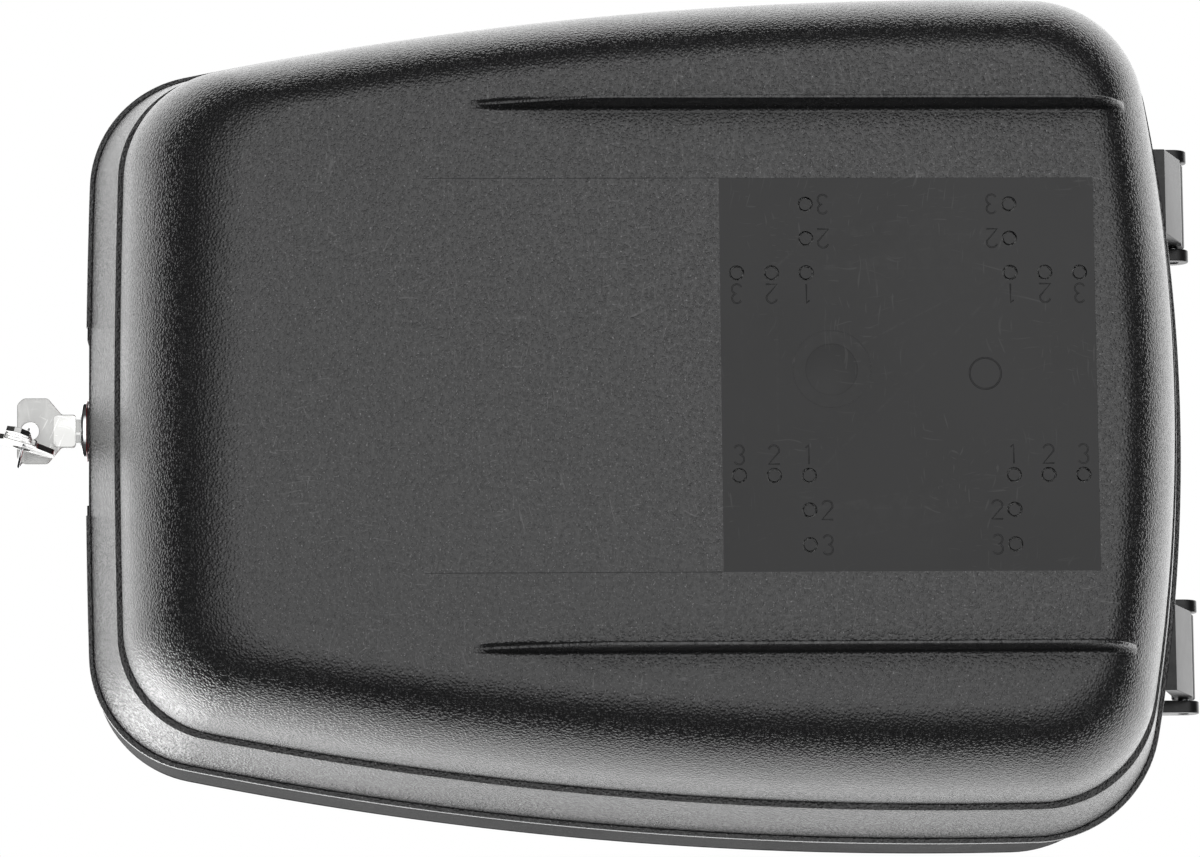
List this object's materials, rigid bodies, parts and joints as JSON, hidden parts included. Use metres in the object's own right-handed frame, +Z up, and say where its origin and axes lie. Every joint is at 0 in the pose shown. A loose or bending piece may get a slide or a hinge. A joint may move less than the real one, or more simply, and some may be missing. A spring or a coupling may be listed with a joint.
{
  "type": "bicycle top case",
  "caption": "Lockable hard-shell carrier top case with a domed hinged lid, keyed hook lock in a red rear reflector, keys on a split ring, and rack drill marks underneath.",
  "frame": {"origin": "middle of the inner square of rack drill marks, on the flat underside of the base", "axes": "+Z up out of the base, +Y towards the hinges, -Y towards the lock, X across the case"},
  "size_m": [0.306, 0.4363, 0.2035],
  "materials": {
    "black_pp": "grained",
    "lid_pp": "grained",
    "pin_steel": "satin",
    "red_lens": "clear",
    "backplate_plastic": "satin",
    "zinc_screw": "zinc",
    "rubber": "matte",
    "chrome_zinc": "polished",
    "plug_metal": "satin",
    "brass": "satin",
    "spring_steel": "satin",
    "zinc_nut": "zinc",
    "cam_steel": "zinc",
    "nickel_key": "nickel",
    "ring_steel": "polished"
  },
  "bodies": {
    "base": {"base_shell": "black_pp", "strike_plate": "cam_steel", "strike_screws": "zinc_screw"},
    "lid": {"lid_shell": "lid_pp", "hinge_pin_left": "pin_steel", "hinge_pin_right": "pin_steel", "reflector_lens": "red_lens", "reflector_backplate": "backplate_plastic", "reflector_screws": "zinc_screw", "lock_gasket": "rubber", "lock_housing": "chrome_zinc", "lock_washer": "zinc_nut", "lock_nut": "zinc_nut"},
    "plug": {"lock_plug": "plug_metal", "lock_wafers": "brass", "wafer_springs": "spring_steel", "cam_stop_washer": "cam_steel", "hook_cam": "cam_steel", "cam_screw": "zinc_screw", "key": "nickel_key"},
    "ring": {"split_ring": "ring_steel"},
    "spare": {"spare_key": "nickel_key"}
  },
  "joints": [
    {"name": "lid_open", "type": "hinge", "parent": "base", "child": "lid", "pos_m": [0, 0.11, 0.134], "axis": [-1, 0, 0], "range_deg": [0, 100]},
    {"name": "lock_turn", "type": "hinge", "parent": "lid", "child": "plug", "pos_m": [0, -0.29, 0.125], "axis": [0, -1, 0], "range_deg": [0, 90]},
    {"name": "ring_swing", "type": "hinge", "parent": "plug", "child": "ring", "pos_m": [-0.00735, -0.30891, 0.125], "axis": [-0.9613, -0.2756, 0], "range_deg": [-10, 20]},
    {"name": "spare_key_swing", "type": "hinge", "parent": "ring", "child": "spare", "pos_m": [-0.00735, -0.30891, 0.11315], "axis": [-0.9613, -0.2756, 0], "range_deg": [-15, 15]}
  ]
}
